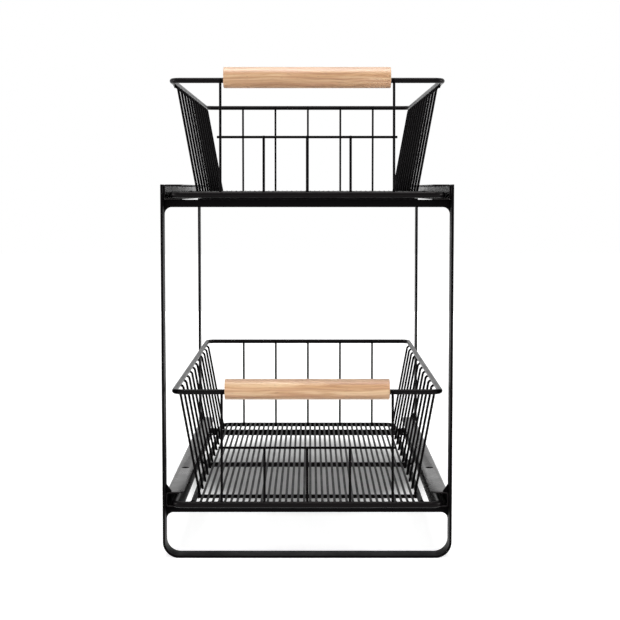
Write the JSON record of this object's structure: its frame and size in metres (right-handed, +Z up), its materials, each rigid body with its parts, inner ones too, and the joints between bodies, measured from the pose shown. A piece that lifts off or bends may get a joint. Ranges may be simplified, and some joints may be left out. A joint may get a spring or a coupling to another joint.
{
  "type": "two-tier drawer unit",
  "caption": "Free-standing frame of black strap and channel steel with two welded wire drawers that pull out one above the other, each with a round wooden handle.",
  "frame": {"origin": "on the floor under the middle of the unit, with both drawers closed", "axes": "+X to the right seen from the front, +Y from the front to the rear, +Z up; the drawers pull out towards -Y"},
  "size_m": [0.25, 0.4628, 0.422],
  "materials": {
    "black_steel": "satin powder coat",
    "pale_wood": "sanded, clear satin"
  },
  "bodies": {
    "frame": {"front_leg_frame": "black_steel", "rear_leg_frame": "black_steel", "lower_front_crossbar": "black_steel", "lower_rear_crossbar": "black_steel", "upper_front_crossbar": "black_steel", "upper_rear_crossbar": "black_steel", "lower_left_rail": "black_steel", "lower_right_rail": "black_steel", "upper_left_rail": "black_steel", "upper_right_rail": "black_steel", "lower_front_left_gusset": "black_steel", "lower_front_right_gusset": "black_steel", "lower_rear_left_gusset": "black_steel", "lower_rear_right_gusset": "black_steel"},
    "lower_drawer": {"lower_runner_wire": "black_steel", "lower_left_side_wall": "black_steel", "lower_right_side_wall": "black_steel", "lower_floor_back_rod": "black_steel", "lower_floor_mesh": "black_steel", "lower_front_cross_wire": "black_steel", "lower_rear_cross_wire": "black_steel", "lower_rim": "black_steel", "lower_front_left_upright": "black_steel", "lower_front_right_upright": "black_steel", "lower_front_short_upright_1": "black_steel", "lower_front_short_upright_2": "black_steel", "lower_front_short_upright_3": "black_steel", "lower_front_mid_wire": "black_steel", "lower_back_upright_1": "black_steel", "lower_back_upright_2": "black_steel", "lower_back_upright_3": "black_steel", "lower_back_upright_4": "black_steel", "lower_back_upright_5": "black_steel", "lower_handle": "pale_wood"},
    "upper_drawer": {"upper_runner_wire": "black_steel", "upper_left_side_wall": "black_steel", "upper_right_side_wall": "black_steel", "upper_floor_back_rod": "black_steel", "upper_floor_mesh": "black_steel", "upper_front_cross_wire": "black_steel", "upper_rear_cross_wire": "black_steel", "upper_rim": "black_steel", "upper_front_left_upright": "black_steel", "upper_front_right_upright": "black_steel", "upper_front_short_upright_1": "black_steel", "upper_front_short_upright_2": "black_steel", "upper_front_short_upright_3": "black_steel", "upper_front_mid_wire": "black_steel", "upper_back_upright_1": "black_steel", "upper_back_upright_2": "black_steel", "upper_back_upright_3": "black_steel", "upper_back_upright_4": "black_steel", "upper_back_upright_5": "black_steel", "upper_handle": "pale_wood"}
  },
  "joints": [
    {"name": "lower_drawer_slide", "type": "slide", "parent": "frame", "child": "lower_drawer", "axis": [0, -1, 0], "range_m": [0, 0.3]},
    {"name": "upper_drawer_slide", "type": "slide", "parent": "frame", "child": "upper_drawer", "axis": [0, -1, 0], "range_m": [0, 0.3]}
  ]
}
